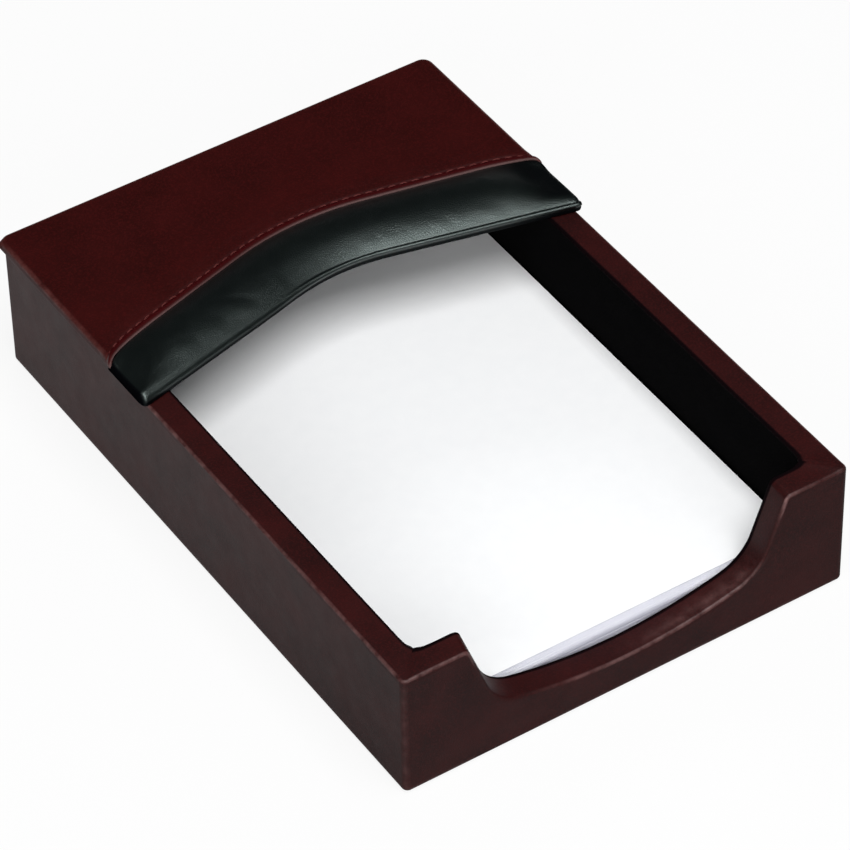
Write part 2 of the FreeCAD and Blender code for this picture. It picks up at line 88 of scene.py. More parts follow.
def quads(rows, columns, wrap=False):
    """Faces of a grid of points numbered row by row. wrap joins the last column to the first."""
    row = np.arange(rows - 1)[:, None] * columns
    here = np.arange(columns if wrap else columns - 1)[None, :]
    after = (here + 1) % columns
    next_row = row + columns
    return np.stack([row + here, row + after, next_row + after, next_row + here], -1).reshape(-1, 4)


def closed_tube(rings, size):
    """Faces of a tube of rings of size points each, with a cap on its first and last ring."""
    caps = [list(range(size)), [(rings - 1) * size + k for k in range(size)]]
    return quads(rings, size, wrap=True).tolist() + caps


def waves(points, length, seed, count=14):
    """Smooth unevenness, mostly within -1 to 1: the scaled mean of sine waves across space, of about one
    wavelength, in random directions with random phases."""
    random = np.random.default_rng(seed)
    direction = random.normal(size=(count, 3))
    direction /= np.linalg.norm(direction, axis=1)[:, None]
    turns = direction * (2 * np.pi / (length * random.uniform(0.7, 1.5, count)))[:, None]
    return np.sin(points @ turns.T + random.uniform(0, 2 * np.pi, count)).sum(-1) / math.sqrt(count)


def bell(distance, width):
    """A smooth hump, 1 at distance 0 and nearly 0 at twice the width: exp(-(distance / width)^2)."""
    return np.exp(-((distance / width) ** 2))


def ease(value, start, end):
    """0 before start, 1 after end and 3t^2 - 2t^3 between."""
    t = np.clip((value - start) / (end - start), 0, 1)
    return t * t * (3 - 2 * t)


def point_outwards(mesh, near=0.0):
    """Turns a mesh's faces outwards. Points that lie nearer together than near are merged first."""
    shape = bmesh.new()
    shape.from_mesh(mesh)
    if near:
        bmesh.ops.remove_doubles(shape, verts=shape.verts, dist=near)
    bmesh.ops.recalc_face_normals(shape, faces=shape.faces)
    shape.to_mesh(mesh)
    shape.free()


def make_piece(name, parts, body, finish, attributes=(), sharp=40):
    """A smooth shaded mesh from parts of (points in mm, faces), merged where they touch, with outward
    normals and the named values per point."""
    points = np.concatenate([np.reshape(p, (-1, 3)) for p, _ in parts]) * MM
    faces, first = [], 0
    for part, part_faces in parts:
        faces += [[first + corner for corner in face] for face in part_faces]
        first += np.size(part) // 3
    mesh = bpy.data.meshes.new(name)
    mesh.from_pydata(points.tolist(), [], faces)
    for label, values in attributes:
        layer = mesh.attributes.new(label, "FLOAT", "POINT")
        layer.data.foreach_set("value", np.ravel(values).astype(np.float32))
    point_outwards(mesh, MERGE)
    mesh.polygons.foreach_set("use_smooth", [True] * len(mesh.polygons))
    mesh.set_sharp_from_angle(angle=math.radians(sharp))
    piece = bpy.data.objects.new(name, mesh)
    bpy.context.scene.collection.objects.link(piece)
    mesh.materials.append(finish)
    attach(piece, body)
    return piece


# --- materials --------------------------------------------------------------------------------------

class Socket:
    """An output of one of a finish's nodes. Arithmetic with it adds Math nodes."""

    def __init__(self, finish, output):
        self.finish, self.output = finish, output

    def maths(self, operation, *others):
        return self.finish.maths(operation, self, *others)

    def __add__(self, other):
        return self.maths("ADD", other)

    def __sub__(self, other):
        return self.maths("SUBTRACT", other)

    def __rsub__(self, other):
        return self.finish.maths("SUBTRACT", other, self)

    def __mul__(self, other):
        return self.maths("MULTIPLY", other)

    __radd__, __rmul__ = __add__, __mul__

    def clipped(self, low, high):
        """0 below low, 1 above high and straight between."""
        limits = {"From Min": low, "From Max": high}
        return self.finish.node("MapRange", {"clamp": True}, {"Value": self, **limits})


class Finish:
    """One material and the nodes that make it."""

    def __init__(self, name):
        self.material = bpy.data.materials.new(name)
        self.material.use_nodes = True
        self.tree = self.material.node_tree
        self.tree.nodes.clear()

    def node(self, kind, settings, inputs, output=0):
        """Adds a node: its settings first, then the values or links of its sockets, by name or number."""
        made = self.tree.nodes.new("ShaderNode" + kind)
        for key, value in settings.items():
            setattr(made, key, value)
        for key, value in inputs.items():
            if isinstance(key, int):
                socket = made.inputs[key]
            else:
                socket = next(s for s in made.inputs if s.enabled and s.name == key)
            if isinstance(value, Socket):
                self.tree.links.new(value.output, socket)
            else:
                socket.default_value = value
        outputs = [s for s in made.outputs if s.enabled]
        return Socket(self, outputs[output]) if outputs else None

    def maths(self, operation, *values):
        return self.node("Math", {"operation": operation}, dict(enumerate(values)))

    def place(self):
        """Object coordinates, in metres."""
        return self.node("TexCoord", {}, {}, 3)

    def noise(self, size, detail=3, where=None, roughness=0.55):
        """Noise whose lumps are about size millimetres across, 0 to 1."""
        return self.node("TexNoise", {}, {"Vector": where or self.place(), "Scale": 1 / (size * MM),
                                          "Detail": detail, "Roughness": roughness})

    def mix(self, factor, first, second):
        """The first colour, and the second where factor is 1. A colour is a socket or three numbers."""
        ends = [v if isinstance(v, Socket) else (*v, 1) for v in (first, second)]
        return self.node("Mix", {"data_type": "RGBA"}, {"Factor": factor, "A": ends[0], "B": ends[1]})

    def value_of(self, label):
        """A piece's own value per point. It is 0 on a piece that has none of that name."""
        return self.node("Attribute", {"attribute_name": label}, {}, 2)

    def bump(self, height, depth):
        """A normal from a height of 0 to 1 that is depth millimetres deep."""
        return self.node("Bump", {}, {"Strength": 1.0, "Distance": depth * MM, "Height": height})

    def surface(self, inputs, over=None):
        """The finished material. over is a factor and the inputs of a second shader that it brings in."""
        shader = self.node("BsdfPrincipled", {}, inputs)
        if over:
            second = self.node("BsdfPrincipled", {}, over[1])
            shader = self.node("MixShader", {}, {0: over[0], 1: shader, 2: second})
        self.node("OutputMaterial", {}, {"Surface": shader})
        return self.material


# near-black without gloss, painted as shade
SHADE_BLACK = (0.0015, 0.0016, 0.0022)
# the deeper red of the band beside a cut edge
BAND_RED = (0.036, 0.0008, 0.0016)
PEBBLE = 0.55 * MM  # size of the leather's pebbles


def leather(name, colour, deep, worn_and_lit, roughness, grain, specular, raw=None, tint=(1, 1, 1), painted_shade=False):
    """Smooth dyed leather: the colour drifts between two tones and is finely speckled, the grain is small
    pebbles between creases over soft unevenness, and arrises are rubbed lighter and glossier, the lighter
    colour partly wear and partly a painted highlight. raw is the colour of a cut edge, beside which the
    leather is a deeper red. tint colours the gloss. The last argument turns on painted shade: a near-black
    without gloss where the piece says so."""
    f = Finish(name)
    base = f.mix(f.noise(14, 4).clipped(0.3, 0.7), deep, colour)
    base = f.mix(f.noise(0.5, 2).clipped(0.45, 0.75) * 0.8, base, [c * 1.5 for c in colour])
    # wear and painted highlight: arrises and marked spots are lightened towards the worn colour
    rub_and_highlight = f.value_of("wear_and_highlight") * f.noise(3, 3).clipped(0.25, 0.75)
    base = f.mix(rub_and_highlight * 0.6, base, worn_and_lit)
    rough = roughness + (f.noise(5, 3) - 0.5) * 0.12 - rub_and_highlight * 0.08
    if raw:
        # a deeper red band beside the cut edge
        base = f.mix(f.value_of("deep_red_band") * 0.85, base, BAND_RED)
        cut = f.value_of("raw")
        base = f.mix(cut, base, f.mix(f.noise(0.3, 2), raw, [c * 0.6 for c in raw]))
        rough = rough + cut * 0.3
    creases = f.node("TexVoronoi", {"feature": "DISTANCE_TO_EDGE"},
                     {"Vector": f.place(), "Scale": 1 / PEBBLE, "Randomness": 1.0})
    height = creases.clipped(0.0, 0.25) * 0.6 + f.noise(0.2, 2) * 0.3
    bumps = f.bump(height + f.noise(2.5, 2) * 0.5 + f.noise(7, 3) * 2, grain)
    # painted shade: a near-black without gloss, brought in where the piece's values say so
    shade_inputs = {"Base Color": (*SHADE_BLACK, 1), "Roughness": 0.9, "Normal": bumps, "Specular IOR Level": 0.0}
    return f.surface({"Base Color": base, "Roughness": rough, "Normal": bumps,
                      "Specular IOR Level": specular, "Specular Tint": (*tint, 1),
                      "Coat Weight": rub_and_highlight * 0.5, "Coat Roughness": 0.35},
                     (f.value_of("painted_shade"), shade_inputs) if painted_shade else None)


def suede():
    """Black lining with a short, dull nap: fine fibres over soft blotches."""
    f = Finish("lining_nap")
    nap = f.noise(0.25, 3)
    base = f.mix(f.noise(6, 3), (0.0030, 0.0030, 0.0032), (0.0045, 0.0043, 0.0045))
    base = f.mix(nap.clipped(0.5, 0.9) * 0.5, base, (0.003, 0.0028, 0.0028))
    return f.surface({"Base Color": base, "Roughness": 0.9, "Normal": f.bump(nap, 0.08),
                      "Specular IOR Level": 0.0})


def fibrous(name, size, tangle, dark, pale, roughness, depth):
    """A ground of short fibres in two tones, about size millimetres long, depth millimetres deep."""
    f = Finish(name)
    fibres = f.noise(size, 5, roughness=tangle)
    base = f.mix(fibres.clipped(0.3, 0.7), dark, pale)
    return f.surface({"Base Color": base, "Roughness": roughness, "Normal": f.bump(fibres, depth)})


def paper():
    """White writing paper: a faint cloudiness and a fine tooth. The stack's cut sides are painted darker
    and cooler as shade, with thin darker lines of painted shade between some sheets."""
    f = Finish("writing_paper")
    clouds = f.noise(4, 3)
    base = f.mix(clouds.clipped(0.3, 0.7), (0.90, 0.906, 0.915), (0.915, 0.92, 0.927))
    # painted shade: faces that don't face up get a darker, cooler grey, with darker lines between sheets
    facing_up = f.node("SeparateXYZ", {}, {"Vector": f.node("TexCoord", {}, {}, 1)}, 2)
    sides = 1 - facing_up.maths("ABSOLUTE")
    drawn_out = f.node("Mapping", {}, {"Vector": f.place(), "Scale": (0.02, 0.02, 1.0)})
    lines = f.noise(0.12, 2, drawn_out).clipped(0.45, 0.75)
    base = f.mix(sides, base, f.mix(lines * 0.18, (0.60, 0.60, 0.71), (0.42, 0.42, 0.52)))
    return f.surface({"Base Color": base, "Roughness": 0.75, "Normal": f.bump(f.noise(0.15, 2), 0.01),
                      "Specular IOR Level": 0.2})


def thread():
    """Bonded red thread: its twist shows as slanting darker lines."""
    f = Finish("sewing_thread")
    twist = f.node("TexWave", {"wave_type": "BANDS", "bands_direction": "DIAGONAL"},
                   {"Vector": f.place(), "Scale": 900.0, "Distortion": 0.5})
    base = f.mix(twist, (0.064, 0.011, 0.010), (0.115, 0.025, 0.023))
    return f.surface({"Base Color": base, "Roughness": 0.7, "Normal": f.bump(twist, 0.03),
                      "Specular IOR Level": 0.15})


WALL_LEATHER = leather("burgundy_wall_leather", (0.027, 0.0029, 0.0028), (0.0115, 0.0015, 0.0015),
                       (0.21, 0.105, 0.10), 0.55, 0.02, 0.17, painted_shade=True)
COVER_LEATHER = leather("burgundy_cover_leather", (0.0315, 0.0027, 0.0025), (0.0205, 0.0018, 0.0016),
                        (0.14, 0.045, 0.04), 0.55, 0.02, 0.1, raw=(0.145, 0.083, 0.08))
LIP_LEATHER = leather("black_lip_leather", (0.0015, 0.0024, 0.0022), (0.0010, 0.0016, 0.0015),
                      (0.012, 0.016, 0.015), 0.335, 0.033, 0.8, tint=(0.84, 1.0, 0.96), painted_shade=True)
FIBREBOARD = fibrous("fibreboard", 0.8, 0.75, (0.30, 0.19, 0.11), (0.46, 0.33, 0.21), 0.85, 0.1)
FELT = fibrous("base_felt", 0.6, 0.8, (0.012, 0.011, 0.011), (0.045, 0.04, 0.04), 0.95, 0.25)
FINISHES = {
    "board": FIBREBOARD, "felt": FELT, "lining": suede(), "wall_leather": WALL_LEATHER,
    "cover_leather": COVER_LEATHER, "lip_leather": LIP_LEATHER, "thread": thread(), "paper": paper(),
    "foam": FIBREBOARD,  # the foam is never in view
}
for part in frame["record"]["subparts"]:
    node = frame["nodes"][part["node"]]
    node.data.materials.clear()
    node.data.materials.append(FINISHES[part["material_slot"]])


# --- the walls' leather -----------------------------------------------------------------------------
# One wall's leather is a closed section carried along the wall, from the mitre at one corner to the
# mitre at the next. along runs along the wall, into runs in from its outer face.

CORNER = 1.6  # radius of the upright outer corners
CORNER_LEAST = 0.3  # radius inside which a line of the section no longer tightens
CORNER_STEPS = 9  # points on half an outer corner
TOP_ARRIS, INNER_ARRIS, FOOT_ARRIS = 0.8, 0.5, 1.0
SUPPORT = 1.7  # depth below the top at which the flat face starts
MITRE_ZONE = 14.5  # length at each end of a wall where the section turns towards the mitre
PUFFED, SUNK = 0.24, -0.14  # how far the folded leather swells or sinks beside a mitre
PUFF_WIDTH, DIP, DIP_WIDTH = 1.6, 0.07, 0.5  # how wide, and the dip at the seam of a swollen one
INNER_ROUND = 0.9  # how far the mitre's inner corner is rounded off
INNER_SHADE = 0.9  # strength of the painted shade, near-black without gloss, on the inner edge
SHADE_FROM = {"front": 6.2, "right": 6.6, "rear": 6.6, "left": 6.6}  # inset at which the inner edge's painted shade starts
CORNER_WEAR = 0.3


def leather_section():
    """The section as a closed loop of points (inset, drop, hang, level, and a share of wear and painted
    highlight on the arrises): a point is drop below the wall's top outline, along its inward normal, as
    far as hang is 1, and at the fixed level as far as hang is 0."""
    rows = []

    def hung(points):
        rows.extend([inset, drop, 1, 0, 0] for inset, drop in points)

    def fixed(points, rub_and_highlight):
        rows.extend([inset, SUPPORT, 0, level, rub_and_highlight] for inset, level in points)

    hung([(WALL, LEATHER)])
    hung(arc((WALL - INNER_ARRIS, INNER_ARRIS), INNER_ARRIS, 0, -90, 4))
    hung([(6.25, 0), (5.9, 0), (4.0, 0), (2.0, 0)])
    round_top = arc((TOP_ARRIS, TOP_ARRIS), TOP_ARRIS, 270, 180, 6)
    for share, (inset, drop) in zip(np.linspace(0, 1, 7), round_top):
        rows.append([inset, drop, 1, 0, math.sin(math.pi * share)])
    foot = WALL_FOOT + FOOT_ARRIS + 0.5
    rows.extend([0, SUPPORT, share, foot, 0] for share in (1, 0.85, 0.65, 0.45, 0.25, 0.1, 0))
    fixed(arc((FOOT_ARRIS, WALL_FOOT + FOOT_ARRIS), FOOT_ARRIS, 180, 270, 5), 0.3)
    fixed([(1.6, WALL_FOOT), (TURN_IN, WALL_FOOT), (TURN_IN, WALL_FOOT + LEATHER)], 0)
    rows.append([LEATHER, LEATHER, 0, WALL_FOOT + LEATHER, 0])
    hung([(LEATHER, LEATHER)])
    return np.array(rows, float).T


def straight_outline(half_run):
    """A level wall top: points (along, height) and inward normals, over the middle of the wall."""
    along = np.linspace(-half_run + MITRE_ZONE, half_run - MITRE_ZONE, 41)
    return along, np.full_like(along, WALL_TOP), np.zeros_like(along), np.full_like(along, -1.0)


def notched_outline(half_run):
    """The front wall's top: level, round a small arc down the notch's leaning side, round its corner and
    along its wide floor arc, then the mirror image. Normals point into the wall."""
    into_side = np.array([-math.cos(NOTCH_LEAN), -math.sin(NOTCH_LEAN)])
    turn = math.radians(90) - NOTCH_LEAN
    start = -NOTCH_TOP - NOTCH_POST * math.tan(turn / 2)
    post_centre = np.array([start, WALL_TOP - NOTCH_POST])
    floor_centre = np.array([0, NOTCH_LOW + NOTCH_FLOOR])
    reach = NOTCH_FLOOR - NOTCH_CORNER
    side = into_side @ (-NOTCH_TOP, WALL_TOP)
    # the corner's centre lies its radius from the side line and its reach from the floor arc's centre
    bearing = math.asin((side - NOTCH_CORNER - into_side[1] * floor_centre[1]) / reach) - NOTCH_LEAN
    corner_centre = floor_centre + reach * np.array([-math.sin(bearing), -math.cos(bearing)])
    lean, floor_start = math.degrees(NOTCH_LEAN), 270 - math.degrees(bearing)
    post = arc(post_centre, NOTCH_POST, 90, lean, 8)
    corner = arc(corner_centre, NOTCH_CORNER, 180 + lean, floor_start, 14)
    floor_arc = arc(floor_centre, NOTCH_FLOOR, floor_start, 270, 14)
    level = np.stack([np.linspace(-half_run + MITRE_ZONE, start, 4), np.full(4, WALL_TOP)], 1)
    flank = np.linspace(post[-1], corner_centre + NOTCH_CORNER * into_side, 10)
    points = np.concatenate([level, post[1:], flank[1:], corner[1:], floor_arc[1:]])
    normals = np.concatenate([
        np.tile([0.0, -1.0], (len(level), 1)), (post_centre - post[1:]) / NOTCH_POST,
        np.tile(into_side, (len(flank) - 1, 1)), (corner[1:] - corner_centre) / NOTCH_CORNER,
        (floor_arc[1:] - floor_centre) / NOTCH_FLOOR])
    points = np.concatenate([points, points[-2::-1] * (-1, 1)])
    normals = np.concatenate([normals, normals[-2::-1] * (-1, 1)])
    return points[:, 0], points[:, 1], normals[:, 0], normals[:, 1]


def notch_skew(along, into, drop):
    """How far the notch's edge runs askew to the right, towards its inner side: more at its left post."""
    on_edge = np.clip(into / WALL, 0, 1) * (1 - np.clip(drop / LEATHER, 0, 1))
    return on_edge * (1 - ease(np.abs(along), 45, 51)) * (1.05 - 0.6 * np.tanh(along / 20))


def notch_wear_and_highlight(wear_and_highlight, along, inset, drop, hang):
    """The front wall's wear and painted highlight: its notch is scuffed between its middle and its right
    corner, its arris is rubbed from the middle to the right, and the posts' arrises less towards the right
    end, with a painted highlight on the right post's inner corner."""
    scuffed = 0.6 * bell(inset - 2.4, 1.6) * (drop < 0.01) * hang * ease(along, -8, 24) * (along < 36)
    in_notch = ease(along, -30, -4) * (1 - 0.9 * bell(along - 38.5, 4))
    on_post = (1 - 0.65 * ease(along, 44, 51)) * (1 + bell(along - NOTCH_TOP + 0.4, 0.8))
    return np.maximum(wear_and_highlight, scuffed) * np.where(np.abs(along) < NOTCH_TOP - 1.2, in_notch, on_post)


def wall_leather(side, half_run, reach, turn, outline, folds):
    """One wall's leather. In plan a line of the section at one inset is the side of a rounded rectangle:
    its corner radius is CORNER less the inset, so all lines end on the mitre. In height it hangs from the
    top outline. Beside the mitres at its left and right end, seen from outside, the top swells by folds.
    The faces are slightly uneven, and the whole is turned about the tray's middle to its side."""
    inset, drop, hang, level, rub_and_highlight = leather_section()
    radius = np.maximum(CORNER - inset, CORNER_LEAST)
    centre = inset + radius
    bend = np.radians(np.linspace(45, 0, CORNER_STEPS))[:, None]
    share = np.array([0.012, 0.03, 0.06, 0.1, 0.16, 0.25, 0.4, 0.7])[:, None]
    corner_along = -(half_run - centre) - radius * np.sin(bend)
    run_along = -(half_run - centre) + share * (MITRE_ZONE - centre)
    left_along = np.concatenate([corner_along, run_along])
    left_into = np.concatenate([centre - radius * np.cos(bend), np.tile(inset, (len(share), 1))])
    middle, height, normal_along, normal_up = outline(half_run)

    def between_ends(values, end):
        ends = np.full(len(left_along), end)
        return np.concatenate([ends, values, ends])[:, None]

    along = np.concatenate([left_along, np.tile(middle[:, None], (1, len(inset))), -left_along[::-1]])
    into = np.concatenate([left_into, np.tile(inset, (len(middle), 1)), left_into[::-1]])
    along = along + drop * between_ends(normal_along, 0.0)
    hanging = between_ends(height, WALL_TOP) + drop * between_ends(normal_up, -1.0)
    up = hang * hanging + (1 - hang) * level
    # the folded leather at the mitres
    off_mitre = (half_run - np.abs(along) - into) * math.sqrt(0.5)
    on_top = np.clip(1 - drop / TOP_ARRIS, 0, 1) * hang * (inset < WALL)
    swell = np.where(along < 0, *folds)
    dip = DIP * (swell > 0) * bell(off_mitre, DIP_WIDTH)
    up = up + on_top * (swell * bell(off_mitre, PUFF_WIDTH) - dip)
    corner_rub = np.zeros(len(along))
    corner_rub[:CORNER_STEPS] = np.linspace(1, 0, CORNER_STEPS)
    corner_rub[-CORNER_STEPS:] = np.linspace(0, 1, CORNER_STEPS)
    # wear and painted highlight on the top and foot arrises and the outer corners
    wear_and_highlight = np.maximum(rub_and_highlight, CORNER_WEAR * corner_rub[:, None] * (inset == 0))
    # painted shade: the inner edge of the top is painted near-black without gloss
    painted_shade = INNER_SHADE * np.tile((inset > SHADE_FROM[side]) * hang, (len(along), 1))
    rounded = INNER_ROUND * bell(off_mitre, 1.5) * ease(inset, 3.5, 7.0) * hang
    along = along - np.sign(along) * rounded
    into = into + rounded
    if outline is notched_outline:
        wear_and_highlight = notch_wear_and_highlight(wear_and_highlight, along, inset, drop, hang)
        along = along + hang * notch_skew(along, into, drop)
    local = np.stack([along, into, up], -1) + reach
    uneven = (waves(local, 22, 5) * 0.05 + waves(local, 7, 8) * 0.02) * ease(off_mitre, 0, 3)
    into = into - uneven * (inset == 0) * (up > 2)
    up = up + 0.6 * uneven * on_top
    cos, sin = math.cos(math.radians(turn)), math.sin(math.radians(turn))
    x, y = along, into - reach
    rings = np.stack([x * cos - y * sin, x * sin + y * cos, up], -1)
    parts = [(rings, closed_tube(*rings.shape[:2]))]
    piece = make_piece(f"{side}_wall_covering", parts, "tray", WALL_LEATHER,
                       [("wear_and_highlight", wear_and_highlight), ("painted_shade", painted_shade)])
    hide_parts(f"{side}_wall_leather")


wall_leather("front", HALF_WIDTH, HALF_LENGTH, 0, notched_outline, (SUNK, PUFFED))
wall_leather("right", HALF_LENGTH, HALF_WIDTH, 90, straight_outline, (PUFFED, 0.0))
wall_leather("rear", HALF_WIDTH, HALF_LENGTH, 180, straight_outline, (0.0, 0.0))
wall_leather("left", HALF_LENGTH, HALF_WIDTH, 270, straight_outline, (0.0, SUNK))


# --- the cover's leather ----------------------------------------------------------------------------

def arch(x, inset=0.0):
    """y of the cover's arched front edge, moved back by inset: a circle about (0, ARCH_CENTRE) between
    straight flanks that touch it."""
    radius = ARCH_RADIUS + inset
    touch = radius * math.sin(ARCH_ANGLE)
    off = np.abs(x)
    top = ARCH_CENTRE + np.sqrt(radius**2 - np.minimum(off, touch) ** 2)
    return top - np.maximum(off - touch, 0) * math.tan(ARCH_ANGLE)


EDGE_ARRIS, UNDER_ARRIS = 1.2, 0.9
RIM = 4.0  # width of the band of the top that belongs to the rim
TIP = 0.8  # how far the leather's fold stands out at the left rear corner
SEAM_BACK, SEAM_ASKEW = 1.15, 0.0335  # the seam lies further back than the lip's width, and runs askew
SEAM_DRAWN, DRAWN_RUN = 3.2, 3.6  # how far it is drawn forward at the cover's sides, and over what run
STITCH_INSET = 2.05  # of the stitches behind the leather's cut edge
LUMP = 0.8  # rise of the leathers where the seam goes over the cover's sides
# (height, place behind the cut edge, width): the edge is pressed down, the leather is full up to the
# stitches, drawn down along them and full again behind
SEAM_RELIEF = ((-0.10, 0.0, 0.35), (0.10, 1.15, 0.6), (-0.26, STITCH_INSET, 0.42), (0.10, 4.0, 1.1))


def seam(x):
    """y of the burgundy leather's cut edge: the arch moved back by the lip's width and a little more, sewn
    askew, and drawn forward towards the cover's sides."""
    x = np.clip(x, -COVER_HALF, COVER_HALF)
    drawn = SEAM_DRAWN * np.exp(-(COVER_HALF - np.abs(x)) / DRAWN_RUN)
    return arch(x, LIP_WIDTH) + SEAM_BACK + SEAM_ASKEW * x - drawn


def seam_relief(behind):
    """Height of the leather near its cut edge: the sum of SEAM_RELIEF's humps and grooves."""
    return sum(height * bell(behind - place, width) for height, place, width in SEAM_RELIEF)


def end_lump(x, behind):
    """The rise of both leathers where the seam goes over the cover's sides: a hump."""
    return LUMP * bell(COVER_HALF - np.abs(x), 3.5) * bell(behind, 2.4)


def cover_leather():
    """A top grid between the seam and the rear, and a rim round its left, rear and right sides: a section
    of top arris, side and turn-in, carried round a plan with rounded rear corners. A line of the rim at one
    inset has the corner radius REAR_CORNER less the inset, and none at the grid."""
    under = arc((UNDER_ARRIS, WALL_TOP + UNDER_ARRIS), UNDER_ARRIS, 270, 180, 5)
    over = arc((EDGE_ARRIS, COVER_TOP - EDGE_ARRIS), EDGE_ARRIS, 180, 90, 7)
    section = np.concatenate([
        [(8.2, WALL_TOP), (1.4, WALL_TOP)], under, [(0, COVER_TOP - EDGE_ARRIS - 0.4)], over,
        [(1.8, COVER_TOP), (RIM, COVER_TOP)]])
    inset, level = section.T
    under_turn, over_turn = np.radians(np.linspace(0, 90, 6)), np.radians(np.linspace(0, 90, 8))
    out = np.concatenate([[0, 0], np.sin(under_turn), [1], np.cos(over_turn), [0, 0]])
    up = np.concatenate([[-1, -1], -np.cos(under_turn), [0], np.sin(over_turn), [1, 1]])
    # wear and painted highlight along the top arris
    rub_and_highlight = np.concatenate([np.zeros(9), np.sin(2 * over_turn), [0, 0]])
    centre = np.maximum(REAR_CORNER, inset)
    radius = centre - inset
    # shares of the way from the seam to the rear: close together where the relief is, then even
    near = np.concatenate([np.arange(0, 3.6, 0.2), [4.0, 4.5, 5.1, 5.8, 6.8, 8.2, 10.5]]) / 38.0
    steps = np.concatenate([near, np.linspace(near[-1], 1, 12)[1:]])
    half = COVER_HALF - inset
    across = np.linspace(0, 1, 97)
    bend = np.radians(np.linspace(0, 90, 14))[1:-1, None]

    def side(way):
        x = np.tile(way * half, (len(steps), 1))
        front = seam(x)
        y = front + (COVER_REAR - centre - front) * steps[:, None]
        behind = (y - front) * math.cos(ARCH_ANGLE)
        lift = seam_relief(behind) + end_lump(x, behind) * ease(level, 36, 38)
        return np.stack([x + way * lift * out, y, level + lift * up], -1)

    def corner(way):
        tip = TIP * bell(bend - 0.5, 0.28) * bell(level - 37.2, 0.9) * (inset < 1) * (way < 0)
        return np.stack([way * (COVER_HALF - centre + (radius + tip) * np.cos(bend)),
                         COVER_REAR - centre + (radius + tip) * np.sin(bend), level + 0 * bend], -1)

    x = (COVER_HALF - centre) * (2 * across[:, None] - 1)
    rear = np.stack([x, COVER_REAR - inset + 0 * x, level + 0 * x], -1)
    rim = np.concatenate([side(-1), corner(-1), rear, corner(1)[::-1], side(1)[::-1]])
    top_x = np.tile((COVER_HALF - RIM) * (2 * across[:, None] - 1), (1, len(steps)))
    front = seam(top_x)
    top_y = front + (COVER_REAR - RIM - front) * steps
    behind = (top_y - front) * math.cos(ARCH_ANGLE)
    lift = seam_relief(behind) + end_lump(top_x, behind)
    top = np.stack([top_x, top_y, COVER_TOP + lift], -1)
    wear_and_highlight = [np.tile(rub_and_highlight, (len(rim), 1)).ravel(), np.zeros(top_x.size)]
    points = np.concatenate([rim.reshape(-1, 3), top.reshape(-1, 3)])
    behind = (points[:, 1] - seam(points[:, 0])) * math.cos(ARCH_ANGLE)
    # a deeper red band just behind the cut edge
    deep_red_band = bell(behind - 1.3, 0.7)
    cut = bell(np.maximum(behind, 0), 0.32) * (1 - 0.45 * bell(points[:, 0] + 22, 22))
    parts = [(rim, quads(*rim.shape[:2]).tolist()), (top, quads(*top.shape[:2]).tolist())]
    piece = make_piece("cover_covering", parts, "tray", COVER_LEATHER,
                       [("wear_and_highlight", np.concatenate(wear_and_highlight)), ("raw", cut), ("deep_red_band", deep_red_band)])
    thick = piece.modifiers.new("thickness", "SOLIDIFY")
    thick.thickness, thick.offset = LEATHER * MM, -1
    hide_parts("cover_leather")


cover_leather()


# --- the padded lip ---------------------------------------------------------------------------------

CREASE, CREST = 1.22, 9.8  # how far behind the front edge the crown starts and is highest
CROWN_FOOT = 38.0  # level of the crown's foot
CROWN_RISE, CROWN_END = 3.0, 0.2  # its height over the foot at the crest and at the seam
CROWN_LEAST = 0.2  # share of it that is left at the lip's ends
LIP_HALF, LIP_END = 62.1, 1.6  # half the lip's length, and the rounding of its ends
END_RINGS = 7  # rings of points in that rounding
FRONT_CHANGE = (-26, 8)  # x between which the round front turns into a beaded one
FOOT_POINTS, FRONT_POINTS, TAIL_POINTS = 4, 21, 3  # of the profile, before its top and after it
FOLD_DEPTH, FOLD_WIDTH = 0.14, 1.1  # of the soft fold across its left part


def crown(behind, share):
    """Height of the padding's crown over its foot, two parabolas: it rises from the crease to the crest
    as 1 - (1 - u)^2 and falls to the seam as u^2. Where its share is under 1, it is lower and its crest
    further forward, with the same slope at the crease."""
    crest = CREASE + share * (CREST - CREASE)
    rising = np.clip((behind - CREASE) / (crest - CREASE), 0, 1)
    falling = np.clip((behind - crest) / (LIP_WIDTH - crest), 0, 1)
    rise = share * CROWN_RISE
    return rise * (1 - (1 - rising) ** 2) - (rise - CROWN_END) * falling**2


def lip_profiles():
    """Two profiles (distance behind the front edge, height) with matching points. The first has a round
    front; the second a bead over a small recess and a lower roll. Both end tucked under the seam."""
    behind = CREASE + (LIP_WIDTH - CREASE) * np.concatenate([[0.004, 0.015], np.linspace(0.035, 1, 24)])
    top = np.stack([behind, np.full_like(behind, CROWN_FOOT)], 1)
    tail = [(LIP_WIDTH + 0.4, 37.86), (LIP_WIDTH + 1.5, 37.8), (LIP_WIDTH + 1.5, WALL_TOP)]
    foot = [(LIP_WIDTH, WALL_TOP), (12, WALL_TOP), (6, WALL_TOP), (2.4, WALL_TOP)]
    under = arc((1.1, 36.3), 0.7, 270, 190, 6)
    beaded = np.concatenate([
        foot, under, [(0.38, 36.5), (0.40, 36.8), (0.46, 37.2)],
        arc((0.6, 37.95), 0.55, 225, 25, 9), [(1.16, 38.05)], top, tail])
    fuller = top + np.outer((1 - np.clip((behind - CREASE) / 10, 0, 1)) ** 3, [0, 0.7])
    plain = np.concatenate([
        foot, under - (0.75, 0), [(-0.45, 36.3), (-0.48, 36.5), (-0.46, 36.65)],
        arc((1.3, 36.81), 1.72, 182, 116, 9), [(0.9, 38.53)], fuller, tail])
    return plain, beaded


